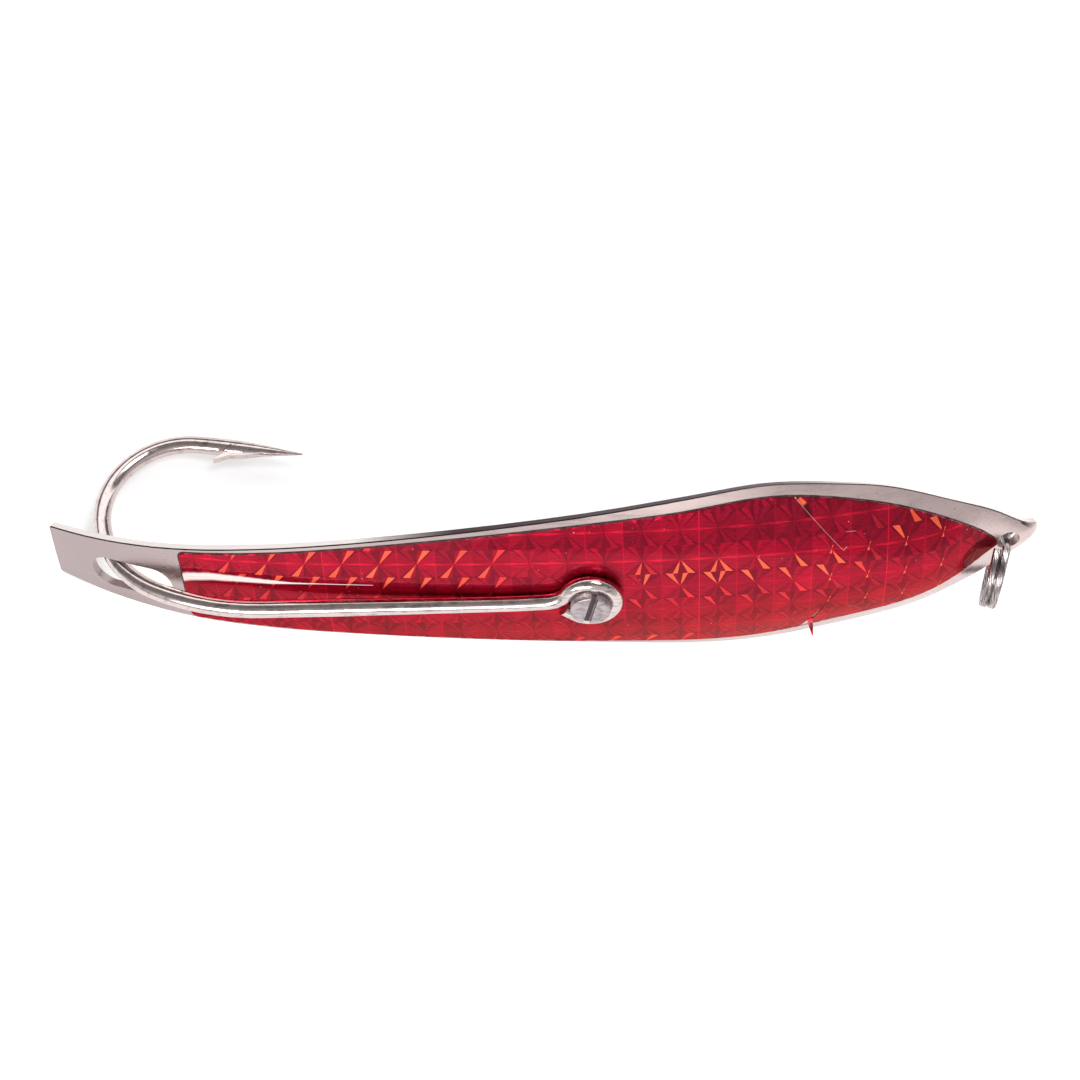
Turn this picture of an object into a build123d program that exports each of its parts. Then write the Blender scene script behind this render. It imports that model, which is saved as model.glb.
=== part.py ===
from build123d import *
import os
from math import cos, degrees, radians, sin, sqrt, tan

# A trolling spoon, lying as it rests on a table. A stamped steel blade carries a strip of prism tape
# on its convex face. One big hook is clamped by its eye under a slotted screw, its shank runs down
# the convex face, and its bend passes through a slot to the hollow face. A split ring hangs in the nose.
#
# All pieces are drawn in the blade's own frame: the origin is on the crown of the convex face under
# the screw, +X runs to the nose, +Y across the blade, +Z out of the convex face. "Place" means the
# distance from the screw along the crown. The last section lays the finished pieces on the table.

# ---- Driving dimensions (mm, degrees) -------------------------------------------------------
# Blade: sheet, and the crown line seen from the side
sheet = 1.5
aft_radius = 1000.0
spine_to_tail = 50.0
fore_radius = 600.0
spine_to_nose = 55.0
tail_ease_radius = 220.0
tail_ease_turn = 4.5
tail_kick_radius = 95.0
tail_kick_turn = 21.0
nose_drop_radius = 36.0
nose_drop_turn = 22.0
nose_flat = 16.0

# Blade: width across the arc and radius of the dish, at its named sections
tail_width = 13.0
tail_dish = 190.0
heel_place = -72.0
heel_width = 20.2
heel_dish = 135.0
waist_place = -36.0
waist_width = 27.8
waist_dish = 80.0
screw_width = 36.7
screw_dish = 58.0
hip_place = 18.0
hip_width = 42.1
hip_dish = 55.0
belly_place = 32.0
belly_width = 45.0
belly_dish = 47.0
chest_place = 46.0
chest_width = 42.1
chest_dish = 36.0
shoulder_place = 58.0
shoulder_width = 36.6
shoulder_dish = 27.5
brow_place = 68.0
brow_width = 27.1
brow_dish = 23.0
cheek_place = 77.0
cheek_width = 14.4
cheek_dish = 21.0
tip_width = 2.2
tail_corner = 0.8
tip_corner = 0.6
rim_break = 0.18
loft_steps = 24

# Openings in the blade
screw_size = 4.0
screw_hole_play = 0.3
ring_hole = 4.2
ring_hole_to_tip = 6.5
slot_width = 8.0
slot_length = 16.2
slot_to_tail = 8.4
slot_shift = -1.0

# Prism tape: bare steel left outside it, along the +Y rim and along the -Y rim
tape = 0.16
tape_glue = 0.02
tape_start = -74.9
tape_tip_place = 76.6
tape_start_corner = 1.2
tape_tip_corner = 1.0
tape_bare_top = {"heel": 0.9, "waist": 1.25, "screw": 1.8, "hip": 2.5, "belly": 2.4, "chest": 2.9,
                 "shoulder": 3.9, "brow": 5.1}
tape_bare_low = {"heel": 0.5, "waist": 0.55, "screw": 1.0, "hip": 2.2, "belly": 3.6, "chest": 6.65,
                 "shoulder": 8.7, "brow": 9.1}

# Hook
hook_wire = 3.3
eye_wire = 2.9
eye_radius = 4.6
eye_open_from = -130.0
eye_turn = 280.0
eye_tail = 2.5
eye_end_gap = 0.12
neck_radius = 5.0
sweep_radius = 150.0
sweep_turn = 4.0
taper_length = 26.0
bend_start = -60.0
bend_lean = 8.0
ease_radius = 47.5
ease_turn = 24.6
front_radius = 19.9
front_turn = 58.3
back_radius = 15.0
back_turn = 104.8
arm_length = 3.6
point_length = 16.6
point_tip = 0.3
barb_reach = 1.75
barb_length = 9.0
barb_cut = 3.1
barb_width = 1.4
eye_seat_play = 0.02

# Screw, lock washer and nut
head_size = 7.4
head_height = 1.6
head_round = 0.45
driver_slot = 1.3
driver_slot_depth = 0.9
driver_slot_turn = 76.0
thread_end = 1.2
thread_end_break = 0.4
washer_size = 7.4
washer_bore = 4.3
washer_thick = 0.9
washer_split = 0.6
nut_size = 7.0
nut_height = 3.2
nut_corner_slope = 30.0
seat_play = 0.02

# Split ring
ring_size = 16.0
ring_coil = 1.5
ring_wall = 1.15
ring_wall_break = 0.32
ring_coil_play = 0.04
ring_step_half = 22.0
ring_turn_at_rest = -97.6
ring_tilt = 41.3
ring_pull = 0.45

# The lie: the blade's lean when it is set down, before it settles on its three feet
first_lie = 55.0
foot_fineness = 0.03

# ---- The crown line and the sections on it --------------------------------------------------
with BuildLine(Plane.XZ) as crown:
    spine_aft = JernArc((0, 0), (-1, 0), aft_radius, degrees(spine_to_tail / aft_radius))
    tail_ease = JernArc(spine_aft @ 1, spine_aft % 1, tail_ease_radius, tail_ease_turn)
    tail_kick = JernArc(tail_ease @ 1, tail_ease % 1, tail_kick_radius, tail_kick_turn)
    spine_fore = JernArc((0, 0), (1, 0), fore_radius, -degrees(spine_to_nose / fore_radius))
    nose_drop = JernArc(spine_fore @ 1, spine_fore % 1, nose_drop_radius, -nose_drop_turn)
    nose_run = Line(nose_drop @ 1, nose_drop @ 1 + nose_flat * (nose_drop % 1))
aft_line = Wire([spine_aft, tail_ease, tail_kick])
fore_line = Wire([spine_fore, nose_drop, nose_run])
tail_place = -aft_line.length
nose_place = fore_line.length


def crown_point(place):
    """The crown point and the crown's direction towards the nose, at a place."""
    line, way = (fore_line, 1) if place >= 0 else (aft_line, -1)
    share = abs(place) / line.length
    return line @ share, way * (line % share)


def across(place):
    """The plane square to the crown at a place: local x across the blade, local y out of its face."""
    point, forward = crown_point(place)
    return Plane(origin=point, x_dir=(0, 1, 0), z_dir=forward)


def on_face(place):
    """The plane that touches the crown at a place: local x to the nose, local z out of the face."""
    point, forward = crown_point(place)
    return Plane(origin=point, x_dir=forward, z_dir=Vector(forward).cross(Vector(0, 1, 0)))


# name: (place, width across the arc, radius of the dish)
sections = {
    "tail": (tail_place, tail_width, tail_dish),
    "heel": (heel_place, heel_width, heel_dish),
    "waist": (waist_place, waist_width, waist_dish),
    "screw": (0.0, screw_width, screw_dish),
    "hip": (hip_place, hip_width, hip_dish),
    "belly": (belly_place, belly_width, belly_dish),
    "chest": (chest_place, chest_width, chest_dish),
    "shoulder": (shoulder_place, shoulder_width, shoulder_dish),
    "brow": (brow_place, brow_width, brow_dish),
    "cheek": (cheek_place, cheek_width, cheek_dish),
    "tip": (nose_place, tip_width, cheek_dish),
}


def shape_at(place):
    """The blade's width and dish at any place, on smooth curves through the named sections."""
    rows = list(sections.values())
    number = sum(1 for row in rows[1:-1] if row[0] <= place)
    before, after = rows[max(number - 1, 0)], rows[min(number + 2, len(rows) - 1)]
    low, high = rows[number], rows[number + 1]
    step = high[0] - low[0]
    share = (place - low[0]) / step
    rest = 1 - share
    values = []
    for column in (1, 2):
        low_rise = step * (high[column] - before[column]) / (high[0] - before[0])
        high_rise = step * (after[column] - low[column]) / (after[0] - low[0])
        from_low = (low[column] * (1 + 2 * share) + low_rise * share) * rest**2
        from_high = (high[column] * (1 + 2 * rest) - high_rise * rest) * share**2
        values.append(from_low + from_high)
    return values


def sheet_section(place, low, high):
    """The face of a curved strip across the blade, between two heights from the convex face."""
    width, dish = shape_at(place)
    half_angle = width / 2 / dish

    def at(angle, height):
        return ((dish + height) * sin(angle), (dish + height) * cos(angle) - dish)

    with BuildSketch(across(place)) as strip:
        with BuildLine():
            top = ThreePointArc(at(-half_angle, high), at(0, high), at(half_angle, high))
            bottom = ThreePointArc(at(-half_angle, low), at(0, low), at(half_angle, low))
            Line(top @ 0, bottom @ 0)
            Line(top @ 1, bottom @ 1)
        make_face()
    return strip.sketch.face()


def dish_drop(dish, reach):
    """How far a dished face falls away from its crown at a reach to the side."""
    return dish - sqrt(dish**2 - reach**2)


# ---- Blade ----------------------------------------------------------------------------------
places = [tail_place + (nose_place - tail_place) * number / loft_steps for number in range(loft_steps + 1)]
ring_hole_plane = on_face(nose_place - ring_hole_to_tip)
slot_plane = on_face(tail_place + slot_to_tail + slot_length / 2)
cutter_depth = 4 * sheet


def thickness_edges(part):
    """The short edges through the sheet, sorted from the tail to the nose."""
    return part.edges().filter_by(lambda edge: abs(edge.length - sheet) < sheet / 50).sort_by(Axis.X)


with BuildPart() as blade:
    loft([sheet_section(place, -sheet, 0) for place in places])
    fillet(thickness_edges(blade)[:2], tail_corner)
    fillet(thickness_edges(blade)[-2:], tip_corner)
    with BuildSketch(Plane.XY):
        Circle(screw_size / 2 + screw_hole_play)
    extrude(amount=cutter_depth, both=True, mode=Mode.SUBTRACT)
    with BuildSketch(ring_hole_plane):
        Circle(ring_hole / 2)
    extrude(amount=cutter_depth, both=True, mode=Mode.SUBTRACT)
    with BuildSketch(slot_plane):
        with Locations((0, slot_shift)):
            SlotOverall(slot_length, slot_width)
    extrude(amount=cutter_depth, both=True, mode=Mode.SUBTRACT)
    chamfer(blade.edges().sort_by(SortBy.LENGTH)[-4:], rim_break)

# ---- Prism tape -----------------------------------------------------------------------------


def tape_edge(side, bare):
    """The tape's edge on one side, seen from above, leaving the named strips of steel bare."""
    stops = [(tape_start, bare["heel"])]
    stops += [(sections[name][0], strip) for name, strip in bare.items() if name != "heel"]
    points = []
    for place, strip in stops:
        width, dish = shape_at(place)
        points.append((crown_point(place)[0].X, side * dish * sin((width / 2 - strip) / dish)))
    return points


tape_tip = (crown_point(tape_tip_place)[0].X, 0)
with BuildSketch(Plane.XY) as tape_outline:
    with BuildLine():
        top_edge = Spline(*tape_edge(1, tape_bare_top), tape_tip)
        low_edge = Spline(*tape_edge(-1, tape_bare_low), tape_tip)
        Line(top_edge @ 0, low_edge @ 0)
    make_face()
    fillet(tape_outline.vertices().group_by(Axis.X)[0], tape_start_corner)
    fillet(tape_outline.vertices().sort_by(Axis.X)[-1], tape_tip_corner)

with BuildPart() as prism_tape:
    loft([sheet_section(place, tape_glue, tape_glue + tape) for place in places])
    extrude(tape_outline.sketch, amount=2 * nose_flat, both=True, mode=Mode.INTERSECT)
    with BuildSketch(Plane.XY):
        Circle(screw_size / 2 + screw_hole_play)
    extrude(amount=cutter_depth, both=True, mode=Mode.SUBTRACT)

# ---- Hook -----------------------------------------------------------------------------------
eye_height = tape_glue + tape + eye_seat_play + eye_wire / 2
neck_turn = eye_open_from + eye_turn - 90 - sweep_turn
wire_radius = hook_wire / 2

with BuildLine(Plane.XY.offset(eye_height)) as eye_path:
    eye_loop = CenterArc((0, 0), eye_radius, eye_open_from, eye_turn)
    neck = JernArc(eye_loop @ 1, eye_loop % 1, neck_radius, -neck_turn)
    shank_sweep = JernArc(neck @ 1, neck % 1, sweep_radius, -sweep_turn)
shank_start = shank_sweep @ 1
taper_end = shank_start - Vector(taper_length, 0, 0)
shank_end = Vector(bend_start, shank_start.Y, eye_height)
lean_way = (0, -cos(radians(bend_lean)), -sin(radians(bend_lean)))
bend_plane = Plane(origin=shank_end, x_dir=(-1, 0, 0), z_dir=lean_way)

with BuildLine(bend_plane) as bend_path:
    ease = JernArc((0, 0), (1, 0), ease_radius, ease_turn)
    front = JernArc(ease @ 1, ease % 1, front_radius, front_turn)
    back = JernArc(front @ 1, front % 1, back_radius, back_turn)
    arm = Line(back @ 1, back @ 1 + arm_length * (back % 1))
point_way = arm % 1
inward = point_way.cross(bend_plane.z_dir) * -1
point_plane = Plane(origin=arm @ 1, x_dir=inward, z_dir=point_way)
barb_plane = Plane(origin=arm @ 1, x_dir=point_way, z_dir=point_way.cross(inward))


def wire_face(origin, way, size):
    """A round section of the hook's wire, square to its way."""
    with BuildSketch(Plane(origin=origin, z_dir=way)) as section:
        Circle(size / 2)
    return section.sketch.face()


def point_section(share, inner_radius, side_radius):
    """An oval section of the hook's point, at a share of its length."""
    with BuildSketch(point_plane.offset(share * point_length)) as section:
        Ellipse(inner_radius, side_radius)
    return section.sketch.face()


with BuildPart() as hook:
    extrude(wire_face(eye_loop @ 0, eye_loop % 0, eye_wire), amount=-eye_tail)
    neck_line = Wire([neck, shank_sweep])
    sweep(wire_face(neck @ 0, neck % 0, eye_wire + 2 * eye_end_gap), path=neck_line, mode=Mode.SUBTRACT)
    sweep(wire_face(eye_loop @ 0, eye_loop % 0, eye_wire), path=Wire([eye_loop, neck, shank_sweep]))
    loft([wire_face(shank_start, (-1, 0, 0), eye_wire), wire_face(taper_end, (-1, 0, 0), hook_wire)])
    extrude(wire_face(taper_end, (-1, 0, 0), hook_wire), amount=taper_end.X - bend_start)
    sweep(wire_face(bend_path.wire() @ 0, (-1, 0, 0), hook_wire), path=bend_path.wire())
    loft([
        point_section(0, wire_radius, wire_radius),
        point_section(0.3, 0.92 * wire_radius, 0.84 * wire_radius),
        point_section(0.65, 0.56 * wire_radius, 0.5 * wire_radius),
        point_section(1, point_tip / 2, point_tip / 2),
    ])
    with BuildSketch(barb_plane):
        with BuildLine():
            Polyline((0, wire_radius + barb_reach), (0.3 * barb_length, 1.26 * wire_radius),
                     (0.55 * barb_length, 1.12 * wire_radius), (barb_length, 0.55 * wire_radius),
                     (barb_length, 0), (barb_cut, 0), close=True)
        make_face()
    extrude(amount=barb_width / 2, both=True)
    with BuildSketch(barb_plane):
        with BuildLine():
            Polyline((barb_cut, 0), (0, wire_radius + barb_reach), (-barb_cut / 4, 1.3 * wire_radius),
                     close=True)
        make_face()
    extrude(amount=hook_wire, both=True, mode=Mode.SUBTRACT)

# ---- Screw, lock washer and nut -------------------------------------------------------------
screw_radius = screw_size / 2
head_radius = head_size / 2
head_seat = eye_height + sqrt((eye_wire / 2) ** 2 - (eye_radius - head_radius) ** 2) + seat_play
washer_seat = -sheet - dish_drop(screw_dish - sheet, washer_size / 2) - seat_play
nut_seat = washer_seat - washer_thick - seat_play
thread_tip = nut_seat - nut_height - thread_end

with BuildPart() as hook_screw:
    with BuildSketch(Plane.XY.offset(head_seat)):
        Circle(head_radius)
    extrude(amount=head_height)
    fillet(hook_screw.faces().sort_by(Axis.Z)[-1].edges(), head_round)
    with BuildSketch(Plane.XY.offset(head_seat)):
        Circle(screw_radius)
    extrude(amount=thread_tip - head_seat)
    chamfer(hook_screw.faces().sort_by(Axis.Z)[0].edges(), thread_end_break)
    with BuildSketch(Plane.XY.offset(head_seat + head_height - driver_slot_depth)):
        Rectangle(2 * head_size, driver_slot, rotation=driver_slot_turn)
    extrude(amount=head_height, mode=Mode.SUBTRACT)

with BuildPart() as lock_washer:
    with BuildSketch(Plane.XY.offset(washer_seat)):
        Circle(washer_size / 2)
        Circle(washer_bore / 2, mode=Mode.SUBTRACT)
        with Locations((washer_size / 2, 0)):
            Rectangle(washer_size, washer_split, mode=Mode.SUBTRACT)
    extrude(amount=-washer_thick)

nut_corner = nut_size / sqrt(3)
nut_corner_drop = (nut_corner - nut_size / 2) * tan(radians(nut_corner_slope))

with BuildPart() as hex_nut:
    with BuildSketch(Plane.XY.offset(nut_seat)):
        RegularPolygon(nut_size / 2, 6, major_radius=False)
    extrude(amount=-nut_height)
    with BuildSketch(Plane.XZ):
        with BuildLine():
            Polyline((0, nut_seat), (nut_size / 2, nut_seat), (nut_corner, nut_seat - nut_corner_drop),
                     (nut_corner, nut_seat - nut_height + nut_corner_drop),
                     (nut_size / 2, nut_seat - nut_height), (0, nut_seat - nut_height), close=True)
        make_face()
    revolve(axis=Axis.Z, mode=Mode.INTERSECT)
    with BuildSketch(Plane.XY.offset(nut_seat)):
        Circle(screw_radius + seat_play)
    extrude(amount=-nut_height, mode=Mode.SUBTRACT)

# ---- Split ring -----------------------------------------------------------------------------
ring_radius = (ring_size - ring_wall) / 2
coil_step = (ring_coil + ring_coil_play) / 2
turn = radians(ring_turn_at_rest)
out_of_plate = ring_hole_plane.z_dir
pull_way = ring_hole_plane.x_dir * cos(turn) + ring_hole_plane.y_dir * sin(turn)
side_way = out_of_plate.cross(pull_way)
ring_axis = side_way * cos(radians(ring_tilt)) + out_of_plate * sin(radians(ring_tilt))
hole_middle = ring_hole_plane.origin - out_of_plate * (sheet / 2)
ring_plane = Plane(origin=hole_middle + pull_way * (ring_pull + ring_radius), x_dir=-pull_way,
                   z_dir=ring_axis)


def coil_section(angle, shift):
    """The flat wire's section at an angle round the ring from the hole, shifted along its axis."""
    outward = ring_plane.x_dir * cos(radians(angle)) + ring_plane.y_dir * sin(radians(angle))
    plane = Plane(origin=ring_plane.origin, x_dir=outward, z_dir=ring_axis.cross(outward))
    with BuildSketch(plane) as section:
        with Locations((ring_radius, -shift)):
            Rectangle(ring_wall, ring_coil)
        chamfer(section.vertices(), ring_wall_break)
    return section.sketch.face()


with BuildPart() as split_ring:
    for shift in (-coil_step, coil_step):
        revolve(coil_section(ring_step_half, shift), axis=Axis(ring_plane.origin, ring_axis),
                revolution_arc=360 - 2 * ring_step_half)
    crossing = []
    for number in range(7):
        share = number / 3 - 1
        crossing.append(coil_section(share * ring_step_half, coil_step * share * (3 - share**2) / 2))
    loft(crossing)

# ---- The lie on the table -------------------------------------------------------------------
pieces = {
    "blade": blade,
    "prism_tape": prism_tape,
    "hook": hook,
    "hook_screw": hook_screw,
    "lock_washer": lock_washer,
    "hex_nut": hex_nut,
    "split_ring": split_ring,
}
heavy = [blade.part, hook.part]
feet = [point for part in heavy for point in part.tessellate(foot_fineness)[0]]
balance = sum((part.center(CenterOf.MASS) * part.volume for part in heavy), Vector(0, 0, 0))
balance = balance / sum(part.volume for part in heavy)


def facing_up(trio, up):
    """The normal of the plane through three feet, on the side that faces up."""
    normal = (trio[1] - trio[0]).cross(trio[2] - trio[0]).normalized()
    return normal if normal.dot(up) > 0 else normal * -1


def holds_balance(trio, up):
    """Whether the balance lies over the triangle of three feet."""
    turns = [(trio[n] - balance).cross(trio[n - 1] - balance).dot(up) for n in range(3)]
    return min(turns) >= 0 or max(turns) <= 0


def feet_under_balance(up):
    """The three feet that the part comes down on when it is set down with this way up."""
    ways = [Plane(origin=(0, 0, 0), z_dir=up).x_dir.rotate(Axis((0, 0, 0), up), 120 * n) for n in range(3)]
    trio = [max(feet, key=way.dot) for way in ways]
    while True:
        normal = facing_up(trio, up)
        lowest = min(feet, key=normal.dot)
        if (trio[0] - lowest).dot(normal) < foot_fineness / 100:
            return trio
        swaps = [[lowest if n == spare else trio[n] for n in range(3)] for spare in range(3)]
        trio = next(swap for swap in swaps if holds_balance(swap, up))


up = Vector(0, sin(radians(first_lie)), cos(radians(first_lie)))
for settling in range(4):
    stand = feet_under_balance(up)
    up = facing_up(stand, up)

table = Plane(origin=stand[0], x_dir=(1, 0, 0), z_dir=up)
for name, piece in pieces.items():
    piece.part.label = name
    piece.part.move(table.location.inverse())
box = Compound([piece.part for piece in pieces.values()]).bounding_box()
middle = Vector(box.center().X, box.center().Y, box.min.Z)


def laid(point):
    """A point of the blade's frame, where it lies on the table."""
    return table.to_local_coords(point) - middle


os.makedirs("parts", exist_ok=True)
for name, piece in pieces.items():
    piece.part.move(Location(-middle))
    export_step(piece.part, f"parts/{name}.step")
    print(name, round(piece.part.volume, 2), piece.part.is_valid, len(piece.part.solids()))
print("stands on", [laid(foot) for foot in stand], "balance", laid(balance))
print("ring hinge", laid(hole_middle), "along", laid(hole_middle + out_of_plate) - laid(hole_middle))
print("line mount", laid(hole_middle + pull_way * (ring_pull + ring_size)))
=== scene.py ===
"""Looks of a trolling spoon: dished steel blade, red prism film, big clamped hook and split ring.

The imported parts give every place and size. New pieces are modelled in the blade's own frame, in
millimetres, with the origin on the crown under the hook's screw, +X to the nose, +Y across the
blade and +Z out of the convex face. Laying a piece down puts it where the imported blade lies.
"""

import logging
import math
import random
from collections.abc import Callable, Iterator
from contextlib import contextmanager
from dataclasses import dataclass
from enum import Enum

import bpy
from mathutils import Matrix, Vector
from mathutils.bvhtree import BVHTree

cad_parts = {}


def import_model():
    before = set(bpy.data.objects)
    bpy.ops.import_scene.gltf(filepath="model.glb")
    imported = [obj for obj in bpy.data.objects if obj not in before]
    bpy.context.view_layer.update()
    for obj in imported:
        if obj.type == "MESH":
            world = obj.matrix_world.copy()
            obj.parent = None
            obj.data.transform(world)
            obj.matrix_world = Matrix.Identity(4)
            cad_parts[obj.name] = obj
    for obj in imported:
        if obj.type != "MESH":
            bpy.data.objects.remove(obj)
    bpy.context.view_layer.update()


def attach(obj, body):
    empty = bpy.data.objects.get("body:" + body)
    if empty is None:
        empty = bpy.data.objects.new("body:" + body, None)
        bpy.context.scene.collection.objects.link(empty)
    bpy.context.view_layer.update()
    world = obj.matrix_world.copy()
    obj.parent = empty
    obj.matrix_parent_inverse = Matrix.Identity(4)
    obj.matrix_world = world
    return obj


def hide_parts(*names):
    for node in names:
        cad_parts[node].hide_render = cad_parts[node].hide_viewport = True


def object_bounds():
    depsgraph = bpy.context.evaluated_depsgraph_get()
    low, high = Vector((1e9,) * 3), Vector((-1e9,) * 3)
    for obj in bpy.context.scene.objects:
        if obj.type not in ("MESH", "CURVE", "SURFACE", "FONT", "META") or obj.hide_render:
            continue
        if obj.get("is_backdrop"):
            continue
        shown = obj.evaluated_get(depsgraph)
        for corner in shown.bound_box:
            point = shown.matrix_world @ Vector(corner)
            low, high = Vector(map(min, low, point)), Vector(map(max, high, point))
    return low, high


LOG = logging.getLogger("spoon")
MM = 0.001
HEAD_TOP = 4.407  # the screw head's height above the crown, in millimetres
Colour = tuple[float, float, float, float]
Triple = tuple[float, float, float]
Pair = tuple[float, float]
Piece = bpy.types.Object
Socket = bpy.types.NodeSocket
Axes = dict[str, Socket]
Inputs = dict[str | int, object]
EVEN: Triple = (1.0, 1.0, 1.0)
SOFT: Pair = (0.35, 0.65)  # where noise mostly lies, and a mark's edge in its own widths


class Body(Enum):
    """The record's moving bodies."""

    SPOON = "spoon"
    RING = "ring"


class Slot(Enum):
    """The record's material slots."""

    BLADE = "blade_steel"
    FILM = "red_prism_tape"
    HOOK = "hook_plating"
    FASTENER = "fastener_steel"
    RING = "ring_plating"


class Facet(Enum):
    """The kinds of facet in one star, named by where they reach its border, with their tones:
    partly the pressed pattern, partly painted reflection of the light.
    """

    CORE = 0.06
    INNER_RISING = 0.40
    INNER_FALLING = 0.15
    OUTER_RISING = 0.20
    OUTER_FALLING = 0.44
    CORNER = 0.10
    FLANK = 0.38
    BEAM = 0.52
    SEAM = 0.62


# ---- Helpers for meshes ----


def bearing(point: Vector) -> float:
    """A point's angle round the origin, in radians."""
    return math.atan2(point.y, point.x)


def only(piece: Piece) -> None:
    """Selects just one object and makes it active.

    Args:
        piece: The object.
    """
    bpy.ops.object.select_all(action="DESELECT")
    piece.select_set(True)
    bpy.context.view_layer.objects.active = piece


def named(name: str) -> Piece:
    """Names the active object and its mesh.

    Args:
        name: The piece's name.

    Returns:
        The active object.
    """
    piece = bpy.context.active_object
    piece.name = name
    piece.data.name = name
    return piece


@contextmanager
def editing(piece: Piece) -> Iterator[None]:
    """Opens just one piece in edit mode, all selected, and closes it again.

    Args:
        piece: The mesh object.

    Yields:
        Nothing: edit mode lasts as long as the block.
    """
    only(piece)
    bpy.ops.object.mode_set(mode="EDIT")
    bpy.ops.mesh.select_all(action="SELECT")
    yield
    bpy.ops.object.mode_set(mode="OBJECT")


def pick(piece: Piece, chosen: Callable[[Vector], bool]) -> None:
    """Selects, in edit mode, only the vertices at some places and the edges between them.

    Args:
        piece: The mesh object.
        chosen: Says whether a place is chosen.
    """
    bpy.ops.mesh.select_all(action="DESELECT")
    bpy.ops.object.mode_set(mode="OBJECT")
    vertices = piece.data.vertices
    for vertex in vertices:
        vertex.select = chosen(vertex.co)
    for edge in piece.data.edges:
        edge.select = all(vertices[end].select for end in edge.vertices)
    bpy.ops.object.mode_set(mode="EDIT")


def extrude(shift: Triple) -> None:
    """Extrudes what is selected in edit mode."""
    bpy.ops.mesh.extrude_region_move(TRANSFORM_OT_translate={"value": shift})


def face_outwards() -> None:
    """Turns every face outwards in edit mode."""
    bpy.ops.mesh.select_all(action="SELECT")
    bpy.ops.mesh.normals_make_consistent(inside=False)


def clean_up(piece: Piece, near: float = 1e-4) -> None:
    """Merges a piece's doubles, nearer than this in millimetres, and turns its faces outwards."""
    with editing(piece):
        bpy.ops.mesh.remove_doubles(threshold=near)
        face_outwards()


def refine(piece: Piece, cuts: int) -> None:
    """Splits a flat piece's faces finely enough to follow the blade's curve.

    Args:
        piece: The mesh object.
        cuts: Cuts on each edge of its triangles.
    """
    with editing(piece):
        bpy.ops.mesh.quads_convert_to_tris()
        bpy.ops.mesh.subdivide(number_cuts=cuts)


def smooth(piece: Piece, degrees: float) -> None:
    """Shades a piece smooth where its faces meet at less than an angle."""
    only(piece)
    bpy.ops.object.shade_smooth_by_angle(angle=math.radians(degrees))


def apply_modifier(piece: Piece, kind: str, **settings: object) -> None:
    """Adds a modifier to a piece and applies it.

    Args:
        piece: The object to change.
        kind: The modifier's type.
        settings: The modifier's own settings.
    """
    only(piece)
    modifier = piece.modifiers.new(kind.lower(), kind)
    for key, value in settings.items():
        setattr(modifier, key, value)
    bpy.ops.object.modifier_apply(modifier=modifier.name)


def carve(piece: Piece, cutter: Piece, operation: str) -> None:
    """Applies a boolean with a cutter to a piece and throws the cutter away."""
    apply_modifier(piece, "BOOLEAN", operation=operation, object=cutter, solver="EXACT")
    bpy.data.objects.remove(cutter)


# ---- The blade's frame ----


@dataclass(frozen=True)
class BladeFrame:
    """The blade's own axes, as it lies on the table.

    Args:
        matrix: Takes the blade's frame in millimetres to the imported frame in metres.
    """

    matrix: Matrix

    @classmethod
    def from_hardware(cls, screw: str, nut: str, head_top: float,
                      head_band: float = 4.0) -> "BladeFrame":
        """Finds the frame from the clamping screw and its nut.

        Args:
            screw: The screw's node.
            nut: The nut's node, whose flat end is square to the screw.
            head_top: Height of the screw's head above the crown, in millimetres.
            head_band: How far down the screw its middle is taken from, in millimetres.

        Returns:
            The blade's frame.
        """
        ends: dict[tuple[float, ...], float] = {}
        for face in bpy.data.objects[nut].data.polygons:
            key = tuple(round(value, 3) for value in face.normal)
            ends[key] = ends.get(key, 0.0) + face.area
        normal = Vector(max(ends, key=ends.get)).normalized()
        out = normal if normal.z > 0 else -normal
        forward = Vector((0, 1, 0)).cross(out).normalized()
        sideways = out.cross(forward)
        corners = [vertex.co for vertex in bpy.data.objects[screw].data.vertices]
        top = max(corner.dot(out) for corner in corners)
        head = [corner for corner in corners if corner.dot(out) > top - head_band * MM]
        places = [[corner.dot(axis) for corner in head] for axis in (forward, sideways)]
        middle_x, middle_y = ((max(row) + min(row)) / 2 for row in places)
        origin = forward * middle_x + sideways * middle_y + out * (top - head_top * MM)
        turn = Matrix((forward, sideways, out)).transposed().to_4x4()
        return cls(Matrix.Translation(origin) @ turn @ Matrix.Scale(MM, 4))

    def point(self, x: float, y: float, z: float) -> Vector:
        """A point of the blade's frame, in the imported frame."""
        return self.matrix @ Vector((x, y, z))

    def way(self, x: float, y: float, z: float) -> Vector:
        """A direction of the blade's frame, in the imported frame."""
        return (self.matrix.to_3x3() @ Vector((x, y, z))).normalized()

    def lay(self, piece: Piece) -> None:
        """Moves a finished mesh from the blade's frame to where the blade lies."""
        piece.data.transform(self.matrix)
        piece.data.update()


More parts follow.
